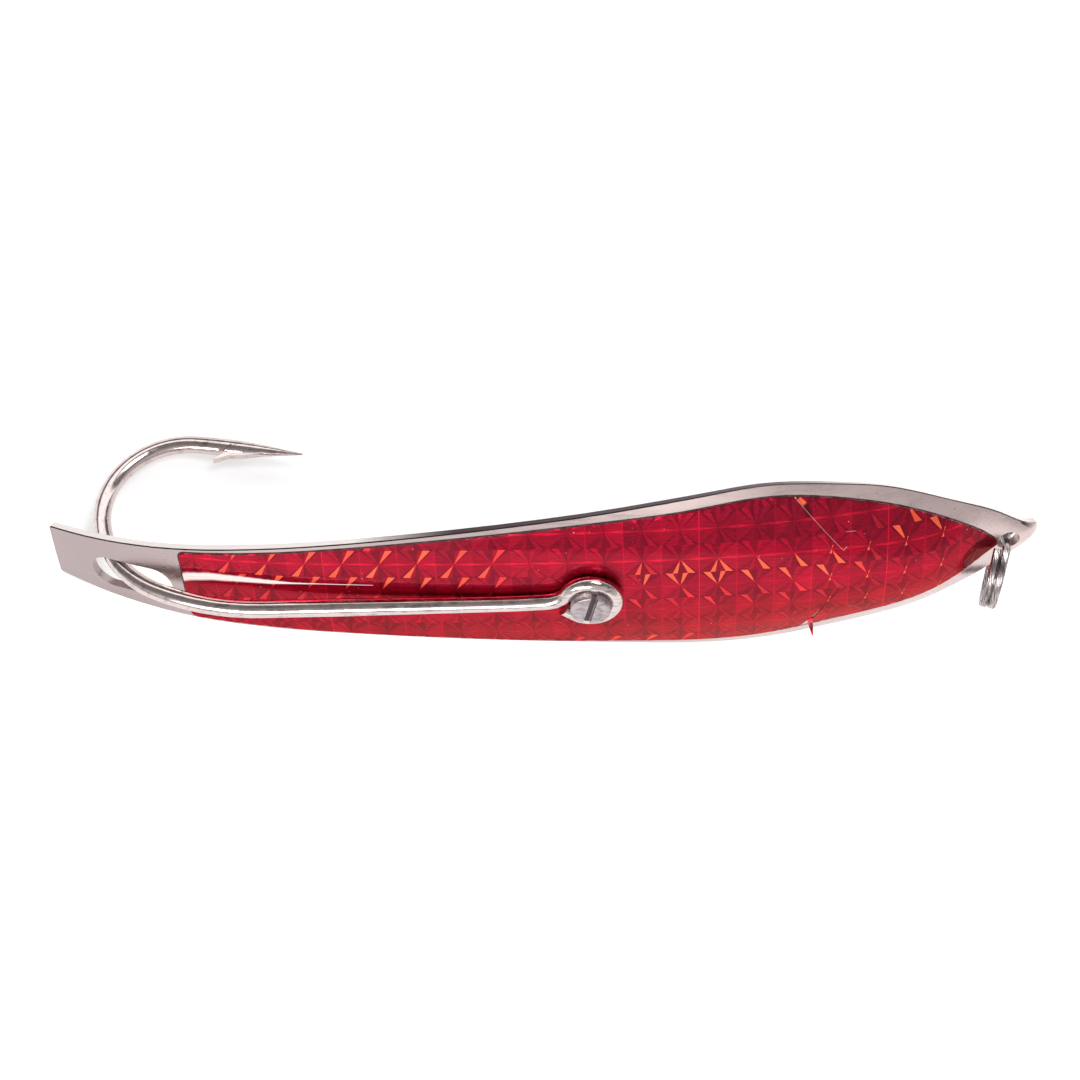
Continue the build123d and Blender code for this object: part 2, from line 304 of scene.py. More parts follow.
class Skin:
    """The outer face of a thin node, seen along the blade's own Z."""

    ABOVE = 60.0  # well above the whole spoon
    TRIES = 3  # enough for the nearest edge to settle

    def __init__(self, frame: BladeFrame, node: str) -> None:
        """Reads the node.

        Args:
            frame: The blade's frame.
            node: The node's name.
        """
        back = frame.matrix.inverted()
        mesh = bpy.data.objects[node].data
        corners = [back @ vertex.co for vertex in mesh.vertices]
        self.tree = BVHTree.FromPolygons(corners, [tuple(face.vertices) for face in mesh.polygons])

    def height(self, x: float, y: float) -> float:
        """Height of the outer face over a place.

        Args:
            x: Place along the blade.
            y: Place across the blade.

        Returns:
            The height in the blade's frame, or that of the nearest edge past the outline.
        """
        hit = self.tree.ray_cast(Vector((x, y, self.ABOVE)), Vector((0, 0, -1)))[0]
        if hit is None:
            hit = self.tree.find_nearest(Vector((x, y, 0.0)))[0]
            for _ in range(self.TRIES):
                hit = self.tree.find_nearest(Vector((x, y, hit.z)))[0]
        return hit.z

    def normal(self, x: float, y: float, reach: float = 1.2) -> Vector:
        """The smooth normal of the outer face over a place.

        Args:
            x: Place along the blade.
            y: Place across the blade.
            reach: Half of the stretch that the slope is taken over.

        Returns:
            The normal in the blade's frame.
        """
        along = (self.height(x + reach, y) - self.height(x - reach, y)) / (2 * reach)
        over = (self.height(x, y + reach) - self.height(x, y - reach)) / (2 * reach)
        return Vector((-along, -over, 1.0)).normalized()


# ---- Helpers for materials ----


@dataclass(frozen=True)
class Grain:
    """Noise that runs over the blade.

    Args:
        stretch: How much finer it is along each of the blade's axes.
        detail: How many finer layers it has.
        size: The size of its grains before they are stretched, in millimetres.
    """

    stretch: Triple
    detail: float = 3.0
    size: float = 1.0


@dataclass(frozen=True)
class Stroke:
    """A soft-edged straight mark over the blade, in millimetres.

    Args:
        start: Its first end, along and across the blade.
        end: Its other end.
        width: Its width at the start.
        end_width: Its width at the other end, or 0 for the same width.
        strength: How much it covers, from 0 to 1.
    """

    start: Pair
    end: Pair
    width: float
    end_width: float = 0.0
    strength: float = 1.0


@dataclass
class Nodes:
    """The nodes of a material or the world, with short calls to add and join them.

    Args:
        owner: The material or world, whose tree is emptied.
        frame: The blade's frame, in which places are read.
    """

    owner: bpy.types.Material | bpy.types.World
    frame: BladeFrame

    def __post_init__(self) -> None:
        """Empties the owner's tree."""
        self.owner.use_nodes = True
        self.owner.node_tree.nodes.clear()

    def add(self, kind: str, inputs: Inputs | None = None, **settings: object) -> bpy.types.Node:
        """Adds a node.

        Args:
            kind: The node's type.
            inputs: A socket to join, or a value to set, for each named input.
            settings: The node's own settings.

        Returns:
            The node.
        """
        tree = self.owner.node_tree
        node = tree.nodes.new(kind)
        for key, value in settings.items():
            setattr(node, key, value)
        for key, value in (inputs or {}).items():
            if isinstance(value, Socket):
                tree.links.new(value, node.inputs[key])
            else:
                node.inputs[key].default_value = value
        return node

    def math(self, kind: str, first: object, second: object = 0.0, *more: object) -> Socket:
        """Works one operation through some values.

        Args:
            kind: The operation.
            first: A socket or a number.
            second: A socket or a number.
            more: Further ones, each of which the result so far is worked with.

        Returns:
            The result's socket.
        """
        result = self.add("ShaderNodeMath", {0: first, 1: second}, operation=kind).outputs[0]
        return self.math(kind, result, *more) if more else result

    def product(self, *values: object) -> Socket:
        """The values times each other."""
        return self.math("MULTIPLY", *values)

    def total(self, *values: object) -> Socket:
        """The values added up."""
        return self.math("ADD", *values)

    def most(self, *values: object) -> Socket:
        """The largest of the values."""
        return self.math("MAXIMUM", *values)

    def less(self, first: object, second: object) -> Socket:
        """The first value less the second."""
        return self.math("SUBTRACT", first, second)

    def span(self, value: Socket, low: float, high: float, start: float = SOFT[0],
             end: float = SOFT[1]) -> Socket:
        """Maps a value between start and end to a number between low and high."""
        ends = {"From Min": start, "From Max": end, "To Min": low, "To Max": high}
        return self.add("ShaderNodeMapRange", {"Value": value, **ends}).outputs["Result"]

    def rise(self, value: Socket, start: float, end: float, full: float = 1.0) -> Socket:
        """0 up to the start, and full from the end on."""
        return self.span(value, 0.0, full, start, end)

    def fall(self, value: Socket, start: float, end: float, full: float = 1.0) -> Socket:
        """Full up to the start, and 0 from the end on."""
        return self.span(value, full, 0.0, start, end)

    def mix(self, share: Socket, first: object, second: object, kind: str = "RGBA") -> Socket:
        """Mixes two colours, or two numbers, by a share from 0 to 1."""
        inputs = {"Factor": share, "A": first, "B": second}
        return self.add("ShaderNodeMix", inputs, data_type=kind).outputs["Result"]

    def layered(self, colour: Socket, *layers: tuple[Socket, Colour]) -> Socket:
        """Lays colours over a first one.

        Args:
            colour: The first colour.
            layers: The share and the colour of each layer above it, the lowest first.

        Returns:
            The colour of the whole.
        """
        for share, layer in layers:
            colour = self.mix(share, colour, layer)
        return colour

    def ramp(self, value: Socket, places: tuple[float, ...], *colours: Colour) -> Socket:
        """A colour ramp over a value.

        Args:
            value: The value's socket.
            places: Where each colour is reached.
            colours: The colours, as many as the places.

        Returns:
            The colour's socket.
        """
        node = self.add("ShaderNodeValToRGB", {"Fac": value})
        stops = node.color_ramp.elements
        while len(stops) < len(places):
            stops.new(0.5)
        for stop, place, colour in zip(stops, places, colours):
            stop.position = place
            stop.color = colour
        return node.outputs["Color"]

    def split(self, vector: Socket) -> Axes:
        """The X, Y and Z of a vector."""
        parts = self.add("ShaderNodeSeparateXYZ", {"Vector": vector})
        return {axis: parts.outputs[axis] for axis in "XYZ"}

    def place(self, stretch: Triple) -> Socket:
        """Finds the place on the blade.

        Args:
            stretch: What each axis is multiplied by.

        Returns:
            The place, in millimetres of the blade's own frame.
        """
        here = self.add("ShaderNodeTexCoord").outputs["Object"]
        inputs = {"Location": self.frame.matrix.translation, "Vector": here,
                  "Rotation": self.frame.matrix.to_euler()}
        spot = self.add("ShaderNodeMapping", inputs, vector_type="TEXTURE").outputs["Vector"]
        inputs = {"Scale": [value / MM for value in stretch], "Vector": spot}
        return self.add("ShaderNodeMapping", inputs, vector_type="POINT").outputs["Vector"]

    def spot(self) -> Axes:
        """The place on the blade, in millimetres along, across and out of it."""
        return self.split(self.place(EVEN))

    def facing(self) -> Axes:
        """Finds the way that the face looks.

        Returns:
            Its normal in the blade's frame.
        """
        inputs = {"Rotation": self.frame.matrix.to_euler(),
                  "Vector": self.add("ShaderNodeTexCoord").outputs["Normal"]}
        turned = self.add("ShaderNodeMapping", inputs, vector_type="TEXTURE")
        return self.split(turned.outputs["Vector"])

    def grain(self, grain: Grain) -> Socket:
        """Noise over the blade, from 0 to 1."""
        inputs = {"Scale": 1 / grain.size, "Detail": grain.detail,
                  "Vector": self.place(grain.stretch)}
        return self.add("ShaderNodeTexNoise", inputs).outputs["Fac"]

    def stroke(self, spot: Axes, mark: Stroke) -> Socket:
        """Draws a straight mark over the blade.

        Args:
            spot: The place in the blade's frame.
            mark: The mark.

        Returns:
            The mark's strength on it and 0 off it.
        """
        run = Vector(mark.end) - Vector(mark.start)
        way = run.normalized()
        end_width = mark.end_width or mark.width
        x, y = (self.less(spot[axis], at) for axis, at in zip("XY", mark.start))
        along = self.total(self.product(x, way.x), self.product(y, way.y))
        aside = self.less(self.product(y, way.x), self.product(x, way.y))
        wide = self.span(along, mark.width, end_width, 0.0, run.length)
        near = self.fall(self.math("DIVIDE", self.math("ABSOLUTE", aside), wide), *SOFT)
        half = run.length / 2
        middle = self.math("ABSOLUTE", self.less(along, half))
        return self.product(near, self.fall(middle, half, half + end_width / 2), mark.strength)

    def strokes(self, spot: Axes, marks: tuple[Stroke, ...]) -> Socket:
        """The strongest of some marks over the blade."""
        return self.most(*(self.stroke(spot, mark) for mark in marks))

    def bump(self, height: Socket, depth: float) -> Socket:
        """A bump of this depth in millimetres."""
        inputs = {"Distance": depth * MM, "Height": height}
        return self.add("ShaderNodeBump", inputs).outputs["Normal"]

    def surface(self, **inputs: object) -> None:
        """Adds the main shader and its output.

        Args:
            inputs: The shader's inputs, with _ for a blank: sockets, numbers or colours.
        """
        spelled = {key.replace("_", " "): value for key, value in inputs.items()}
        shader = self.add("ShaderNodeBsdfPrincipled", spelled)
        self.add("ShaderNodeOutputMaterial", {"Surface": shader.outputs["BSDF"]})


def dress(piece: Piece, material: bpy.types.Material) -> None:
    """Gives a piece one material.

    Args:
        piece: The piece or CAD node.
        material: Its finish.
    """
    piece.data.materials.clear()
    piece.data.materials.append(material)


# ---- Finishes ----


@dataclass(frozen=True)
class Finish:
    """A finish of the spoon. Places and depths are in millimetres of the blade's own frame.

    Args:
        name: The material's name.
    """

    name: str

    def make(self, frame: BladeFrame) -> bpy.types.Material:
        """Makes the finish.

        Args:
            frame: The blade's frame.

        Returns:
            The material.
        """
        nodes = Nodes(bpy.data.materials.new(self.name), frame)
        self.shade(nodes)
        return nodes.owner

    def shade(self, nodes: Nodes) -> None:
        """Adds the finish's own nodes."""
        raise NotImplementedError


@dataclass(frozen=True)
class RolledSteel(Finish):
    """Satin rolled steel of the blade: lengthwise grain, smears, fine pits and a sheared rim with
    painted shade and a painted highlight.

    What ends in _turn is a range of the Z of a face's normal, and what ends in _ends is a range
    of places.
    """

    name: str = "rolled_steel"
    pale: Colour = (0.67, 0.535, 0.515, 1)
    deep: Colour = (0.54, 0.425, 0.415, 1)
    pit: Colour = (0.25, 0.17, 0.16, 1)
    rear_tone: Colour = (0.42, 0.345, 0.34, 1)
    tail_grey: Colour = (0.36, 0.30, 0.30, 1)
    hollow: Colour = (0.60, 0.555, 0.55, 1)
    # painted shade along the upper rim, then a painted highlight on the rim's other faces
    rim: Colour = (0.040, 0.022, 0.028, 1)
    rim_highlight: Colour = (0.98, 0.90, 0.87, 1)
    grain: Grain = Grain((0.12, 2.6, 2.6), 4.0)
    smears: Grain = Grain((0.05, 0.16, 0.16))
    specks: Grain = Grain((1.7, 1.7, 1.7), 2.0)
    grain_share: float = 0.3
    tones: Pair = (0.36, 0.54)
    pitted: Pair = (0.69, 0.76)
    pit_share: float = 0.55
    rear_tone_ends: Pair = (-15.0, 25.0)
    rear_tone_share: float = 0.55
    tail_ends: Pair = (-88.0, -62.0)
    tail_share: float = 0.75
    hollow_turn: Pair = (-0.7, -0.2)
    hollow_share: float = 0.8
    sheared_turn: Pair = (0.66, 0.74)
    chamfer_turn: Pair = (-0.05, 0.05)
    upper_ends: Pair = (1.0, 3.0)
    # where the painted shade on the rim lies, and how strong it is
    rim_shade_ends: Pair = (-42.0, 52.0)
    rim_shade_fade: float = 18.0
    rim_shade_share: float = 0.93
    rim_highlight_metal: float = 0.05
    rough: Pair = (0.24, 0.36)
    depth: float = 0.008

    def painted_rim_light(self, nodes: Nodes, spot: Axes, way: Axes) -> tuple[Socket, Socket]:
        """Finds where the sheared rim along the upper side gets painted shade and a painted
        highlight.

        Args:
            nodes: The finish's nodes.
            spot: The place on the blade.
            way: The face's normal.

        Returns:
            Where the rim gets painted shade and where it gets a painted highlight.
        """
        sheared = nodes.fall(nodes.math("ABSOLUTE", way["Z"]), *self.sheared_turn)
        upper = nodes.product(sheared, nodes.rise(spot["Y"], *self.upper_ends))
        tail, nose = self.rim_shade_ends
        middle = nodes.product(nodes.rise(spot["X"], tail, tail + self.rim_shade_fade),
                               nodes.fall(spot["X"], nose - self.rim_shade_fade, nose))
        dark = nodes.most(nodes.rise(way["Z"], *self.chamfer_turn), middle)
        return nodes.product(upper, dark), nodes.product(upper, nodes.less(1.0, dark))

    def shade(self, nodes: Nodes) -> None:
        """Lays the rolled face, then its pits, a darker tail half, and the rim's painted shade and
        painted highlight.

        Args:
            nodes: The finish's nodes.
        """
        spot, way = nodes.spot(), nodes.facing()
        grain = nodes.grain(self.grain)
        mixed = nodes.total(nodes.product(grain, self.grain_share),
                            nodes.product(nodes.grain(self.smears), 1 - self.grain_share))
        # painted shade and a painted highlight along the upper rim
        dark, light = self.painted_rim_light(nodes, spot, way)
        colour = nodes.layered(
            nodes.ramp(mixed, self.tones, self.deep, self.pale),
            (nodes.rise(nodes.grain(self.specks), *self.pitted, self.pit_share), self.pit),
            # darker towards the tail half, and darker still at the very tail
            (nodes.fall(spot["X"], *self.rear_tone_ends, self.rear_tone_share), self.rear_tone),
            (nodes.fall(spot["X"], *self.tail_ends, self.tail_share), self.tail_grey),
            (nodes.fall(way["Z"], *self.hollow_turn, self.hollow_share), self.hollow),
            # painted highlight, then painted shade, on the upper rim
            (light, self.rim_highlight),
            (nodes.product(dark, self.rim_shade_share), self.rim))
        nodes.surface(Base_Color=colour, Roughness=nodes.span(mixed, *self.rough),
                      Metallic=nodes.span(light, 1.0, self.rim_highlight_metal, 0.0, 1.0),
                      Normal=nodes.bump(grain, self.depth))


@dataclass(frozen=True)
class BrightPlating(Finish):
    """Bright plating over drawn wire: faint draw marks on the straight run and dull spots."""

    name: str = "hook_plating"
    pale: Colour = (0.66, 0.56, 0.54, 1)
    deep: Colour = (0.42, 0.35, 0.35, 1)
    marks: Grain = Grain((0.10, 2.4, 2.4), 4.0)
    spots: Grain = Grain((0.7, 0.7, 0.7))
    tones: Pair = (0.36, 0.50)
    spot_share: float = 0.6
    base: float = 0.22
    marks_from: float = -76.0
    fade: float = 12.0
    rough: Pair = (0.10, 0.20)
    depth: float = 0.02

    def shade(self, nodes: Nodes) -> None:
        """Lays the dull spots and, forward of the bend, the draw marks.

        Args:
            nodes: The finish's nodes.
        """
        run = nodes.rise(nodes.spot()["X"], self.marks_from, self.marks_from + self.fade)
        drawn = nodes.product(nodes.less(nodes.grain(self.marks), 0.5), run)
        spots = nodes.grain(self.spots)
        mixed = nodes.total(nodes.product(spots, self.spot_share), drawn, self.base)
        nodes.surface(Base_Color=nodes.ramp(mixed, self.tones, self.deep, self.pale), Metallic=1.0,
                      Roughness=nodes.span(spots, *self.rough),
                      Normal=nodes.bump(drawn, self.depth))


@dataclass(frozen=True)
class SpringChrome(Finish):
    """Nickelled spring wire of the split ring, with fine dark streaks round its coils."""

    name: str = "ring_plating"
    pale: Colour = (0.45, 0.395, 0.39, 1)
    deep: Colour = (0.10, 0.08, 0.085, 1)
    marks: Grain = Grain((6.5, 0.35, 0.35), 4.0)
    tones: Pair = (0.40, 0.56)
    rough: Pair = (0.32, 0.20)
    depth: float = 0.05

    def shade(self, nodes: Nodes) -> None:
        """Lays the dark streaks.

        Args:
            nodes: The finish's nodes.
        """
        marks = nodes.grain(self.marks)
        nodes.surface(Base_Color=nodes.ramp(marks, self.tones, self.deep, self.pale), Metallic=1.0,
                      Roughness=nodes.span(marks, *self.rough),
                      Normal=nodes.bump(marks, self.depth))


@dataclass(frozen=True)
class TurnedSteel(Finish):
    """Satin turned steel of the screw, washer and nut, with painted shade in the driver slot.

    The shares are those of the turned rings, the spots and the brushing. The slot's heights are
    where its painted shade starts to show, is full, starts to fade and ends.
    """

    name: str = "turned_steel"
    pale: Colour = (0.47, 0.41, 0.42, 1)
    deep: Colour = (0.26, 0.22, 0.23, 1)
    # painted shade in the driver slot
    slot_shade: Colour = (0.055, 0.035, 0.04, 1)
    spots: Grain = Grain(EVEN, 5.0, 1.2)
    brushed: Grain = Grain((0.9, 5.0, 1.0))
    shares: Triple = (0.06, 0.5, 0.44)
    tones: Pair = (0.40, 0.56)
    ring_scale: float = 1 / 6
    ring_waver: float = 4.0
    slot_turn: float = 76.0
    slot_half: float = 0.40
    slot_fade: float = 0.20
    slot_heights: tuple[float, ...] = (3.14, 3.34, 4.04, 4.34)
    slot_shade_share: float = 0.92
    metal: float = 0.95
    rough: Pair = (0.30, 0.42)
    depth: float = 0.01

    def slot_shade_mask(self, nodes: Nodes) -> Socket:
        """Finds where the driver slot gets painted shade.

        Args:
            nodes: The finish's nodes.

        Returns:
            Where the slot's painted shade is.
        """
        spot = nodes.spot()
        turn = math.radians(self.slot_turn)
        aside = nodes.less(nodes.product(spot["Y"], math.cos(turn)),
                           nodes.product(spot["X"], math.sin(turn)))
        across = nodes.fall(nodes.math("ABSOLUTE", aside), self.slot_half,
                            self.slot_half + self.slot_fade)
        return nodes.product(across, nodes.rise(spot["Z"], *self.slot_heights[:2]),
                             nodes.fall(spot["Z"], *self.slot_heights[2:]))

    def shade(self, nodes: Nodes) -> None:
        """Lays the turned and brushed steel and the slot's painted shade.

        Args:
            nodes: The finish's nodes.
        """
        inputs = {"Scale": self.ring_scale, "Distortion": self.ring_waver,
                  "Vector": nodes.place(EVEN)}
        rings = nodes.add("ShaderNodeTexWave", inputs, wave_type="RINGS", rings_direction="Z")
        spots = nodes.grain(self.spots)
        patterns = (rings.outputs["Fac"], spots, nodes.grain(self.brushed))
        mixed = nodes.total(*(nodes.product(*pair) for pair in zip(patterns, self.shares)))
        worn = nodes.ramp(mixed, self.tones, self.deep, self.pale)
        # painted shade in the driver slot
        colour = nodes.mix(nodes.product(self.slot_shade_mask(nodes), self.slot_shade_share), worn, self.slot_shade)
        nodes.surface(Base_Color=colour, Metallic=self.metal,
                      Roughness=nodes.span(spots, *self.rough),
                      Normal=nodes.bump(mixed, self.depth))


@dataclass(frozen=True)
class PrismFoil(Finish):
    """Red metallised foil, each facet with its own tone and painted glints, under a smooth clear
    face with wear, a painted highlight streak and painted shade.

    The film's attribute "facet" holds the tone in red, the painted glint in green and the cut
    edge in blue, and "film_lie" holds the normal of the smooth face.
    """

    name: str = "prism_foil"
    dark: Colour = (0.19, 0.0025, 0.016, 1)
    middle: Colour = (0.43, 0.004, 0.026, 1)
    bright: Colour = (0.80, 0.012, 0.042, 1)
    # colour of the painted glints
    glint: Colour = (1.0, 0.14, 0.062, 1)
    grazing: Colour = (1.0, 0.22, 0.28, 1)
    edge: Colour = (0.05, 0.008, 0.010, 1)
    scuff: Colour = (0.80, 0.62, 0.60, 1)
    # painted highlight along a crease near the tail
    crease_highlight: Colour = (1.0, 0.88, 0.84, 1)
    # painted shade: a dark reflection at the film's tip and shade beside the blister
    painted_dark_shade: Colour = (0.085, 0.001, 0.008, 1)
    fibre: Grain = Grain((0.5, 4.5, 4.5), 4.0)
    fibre_tone: float = 0.14
    tones: Triple = (0.0, 0.5, 1.0)
    specks: Grain = Grain(EVEN, 1.0, 0.55)
    specked: Pair = (0.80, 0.83)
    speck_share: float = 0.9
    scratches: tuple[Stroke, ...] = (
        Stroke((35.5, 20.9), (45.8, 7.7), 0.09, strength=0.42),
        Stroke((45.8, 7.7), (46.4, 8.5), 0.11, strength=0.5),
        Stroke((46.2, 11.6), (47.8, 11.5), 0.14, strength=0.4),
        Stroke((-75.0, 2.6), (-69.5, 3.3), 0.14, strength=0.4),
        Stroke((47.4, -8.6), (47.9, -9.0), 0.14, strength=0.4))
    # where the painted highlight runs along the crease
    crease_highlights: tuple[Stroke, ...] = (
        Stroke((-76.5, 1.6), (-73.5, 2.8), 1.9, 2.1),
        Stroke((-73.5, 2.8), (-69.5, 3.45), 2.1, 1.9),
        Stroke((-69.5, 3.45), (-64.0, 3.4), 1.9, 1.5),
        Stroke((-64.0, 3.4), (-58.0, 3.05), 1.5, 1.0),
        Stroke((-58.0, 3.05), (-54.5, 2.95), 1.0, 0.45),
        Stroke((-54.5, 2.95), (-49.0, 2.95), 0.45, 0.2),
        Stroke((-49.0, 2.95), (-39.5, 2.75), 0.2, 0.12))
    crease_highlight_metal: float = 0.1
    # painted glint on a blister in the film
    blister_glint: Stroke = Stroke((37.7, 18.6), (38.6, 17.75), 0.8)
    # painted shade beside the blister
    blister_glint_side: Stroke = Stroke((38.8, 17.5), (39.6, 15.6), 1.1, strength=0.75)
    # where the painted dark reflection at the tip lies
    tip_patch_middle: Pair = (74.5, -1.5)
    tip_reach: Pair = (6.4, 4.8)
    tip_squareness: float = 3.0
    tip_fade: Pair = (0.92, 1.02)
    tip_share: float = 0.8
    grain: Grain = Grain((3.0, 3.0, 3.0))
    metal: float = 0.85
    rough: Pair = (0.28, 0.42)
    gloss: float = 0.2
    clear_face: float = 0.20
    clear_rough: float = 0.04

    def painted_dark(self, nodes: Nodes, spot: Axes) -> Socket:
        """Finds where painted shade darkens the film.

        Args:
            nodes: The finish's nodes.
            spot: The place on the blade.

        Returns:
            Where the painted shade is: a dark reflection at its tip, and shade beside the blister.
        """
        away = []
        for axis, middle, reach in zip("XY", self.tip_patch_middle, self.tip_reach):
            share = nodes.math("DIVIDE", nodes.less(spot[axis], middle), reach)
            away.append(nodes.math("POWER", nodes.math("ABSOLUTE", share), self.tip_squareness))
        tip = nodes.fall(nodes.total(*away), *self.tip_fade, self.tip_share)
        return nodes.most(tip, nodes.stroke(spot, self.blister_glint_side))

    def shade(self, nodes: Nodes) -> None:
        """Lays each facet's tone and painted glint, then painted shade, a painted highlight streak
        and the wear, and the clear face over all.

        Args:
            nodes: The finish's nodes.
        """
        look = nodes.add("ShaderNodeAttribute", attribute_name="facet").outputs["Color"]
        parts = nodes.add("ShaderNodeSeparateColor", {"Color": look}).outputs
        fibre = nodes.span(nodes.grain(self.fibre), -self.fibre_tone, self.fibre_tone)
        toned = nodes.ramp(nodes.total(parts["Red"], fibre), self.tones,
                           self.dark, self.middle, self.bright)
        spot = nodes.spot()
        highlit_crease = nodes.strokes(spot, self.crease_highlights)
        specks = nodes.rise(nodes.grain(self.specks), *self.specked, self.speck_share)
        colour = nodes.layered(
            toned,
            # painted glints of the facets and the blister
            (nodes.most(parts["Green"], nodes.stroke(spot, self.blister_glint)), self.glint),
            (parts["Blue"], self.edge),
            # painted shade at the tip and beside the blister
            (self.painted_dark(nodes, spot), self.painted_dark_shade),
            # painted highlight along the crease
            (highlit_crease, self.crease_highlight),
            (nodes.most(nodes.strokes(spot, self.scratches), specks), self.scuff))
        lie = nodes.add("ShaderNodeAttribute", attribute_name="film_lie").outputs["Vector"]
        smooth_face = nodes.add("ShaderNodeVectorTransform", {"Vector": lie}, vector_type="NORMAL",
                                convert_from="OBJECT", convert_to="WORLD")
        nodes.surface(Base_Color=colour, Specular_IOR_Level=self.gloss, Specular_Tint=self.grazing,
                      # less metallic under the painted highlight
                      Metallic=nodes.span(highlit_crease, self.metal, self.crease_highlight_metal, 0.0, 1.0),
                      Roughness=nodes.span(nodes.grain(self.grain), *self.rough),
                      Coat_Weight=self.clear_face, Coat_Roughness=self.clear_rough,
                      Coat_Normal=smooth_face.outputs["Vector"])


@dataclass(frozen=True)
class PlainFoil(Finish):
    """The film's red where it is torn and curled, bright on its folds."""

    name: str = "torn_foil"
    dark: Colour = (0.20, 0.003, 0.016, 1)
    bright: Colour = (0.80, 0.03, 0.05, 1)
    folds: Grain = Grain((1.6, 0.5, 0.5), 2.0)
    tones: Pair = (0.42, 0.60)
    metal: float = 0.85
    rough: Pair = (0.2, 0.35)
    clear_face: float = 0.3
    clear_rough: float = 0.05
    depth: float = 0.05

    def shade(self, nodes: Nodes) -> None:
        """Lays the folds.

        Args:
            nodes: The finish's nodes.
        """
        folds = nodes.grain(self.folds)
        nodes.surface(Base_Color=nodes.ramp(folds, self.tones, self.dark, self.bright),
                      Metallic=self.metal, Roughness=nodes.span(folds, *self.rough),
                      Coat_Weight=self.clear_face, Coat_Roughness=self.clear_rough,
                      Normal=nodes.bump(folds, self.depth))


@dataclass(frozen=True)
class DarkEdgeFinish(Finish):
    """Finish of the dark line round the film: dark with dust in it, lighter along the lower edge.
    """

    name: str = "dark_edge_finish"
    dark: Colour = (0.030, 0.006, 0.010, 1)
    dusty: Colour = (0.13, 0.045, 0.05, 1)
    lower_edge_tone: Colour = (0.42, 0.27, 0.27, 1)
    dust: Grain = Grain((0.8, 0.8, 0.8), 4.0)
    tones: Pair = (0.42, 0.62)
    lower_edge_tone_ends: Pair = (-4.0, 2.0)
    rough: Pair = (0.45, 0.8)
    gloss: float = 0.3
    depth: float = 0.03

    def shade(self, nodes: Nodes) -> None:
        """Lays the dark line, its dust and its lighter lower side.

        Args:
            nodes: The finish's nodes.
        """
        dust = nodes.grain(self.dust)
        line_tone = nodes.ramp(dust, self.tones, self.dark, self.dusty)
        upper = nodes.rise(nodes.spot()["Y"], *self.lower_edge_tone_ends)
        nodes.surface(Base_Color=nodes.mix(upper, self.lower_edge_tone, line_tone),
                      Roughness=nodes.span(dust, *self.rough), Specular_IOR_Level=self.gloss,
                      Normal=nodes.bump(dust, self.depth))


# ---- Sub-assemblies ----


def outline_block(frame: BladeFrame, name: str, half: float) -> Piece:
    """A flat block with the tape's outline, made from a copy of its node.

    Args:
        frame: The blade's frame.
        name: The block's name.
        half: Half of its height.

    Returns:
        The block.
    """
    block = bpy.data.objects.new(name, bpy.data.objects["prism_tape"].data.copy())
    block.data.name = name
    bpy.context.scene.collection.objects.link(block)
    block.data.transform(frame.matrix.inverted())
    clean_up(block, near=0.002)
    top = {end for face in block.data.polygons if face.normal.z > 0.5 for end in face.vertices}
    for vertex in block.data.vertices:
        vertex.co.z = half if vertex.index in top else -half
    block.data.update()
    return block


@dataclass(frozen=True)
class Glint:
    """A stretch of the film where one kind of facet gets a painted glint in place of the light it
    mirrors.

    Args:
        facet: The kind of facet.
        along: The stretch's middle and reach along the blade, in millimetres.
        over: Its middle and reach across the film.
        strength: How bright its facets are, from 0 to 1.
        power: How sharply the stretch ends.
    """

    facet: Facet
    along: Pair
    over: Pair
    strength: float = 1.0
    power: int = 6

    def at(self, x: float, y: float) -> float:
        """Finds how bright this kind of facet's painted glint is at a place of the flat film.

        Args:
            x: Place along the blade.
            y: Place across the film.

        Returns:
            The brightness, up to the strength.
        """
        off_x = ((x - self.along[0]) / self.along[1]) ** self.power
        off_y = ((y - self.over[0]) / self.over[1]) ** self.power
        return math.exp(-off_x - off_y) * self.strength


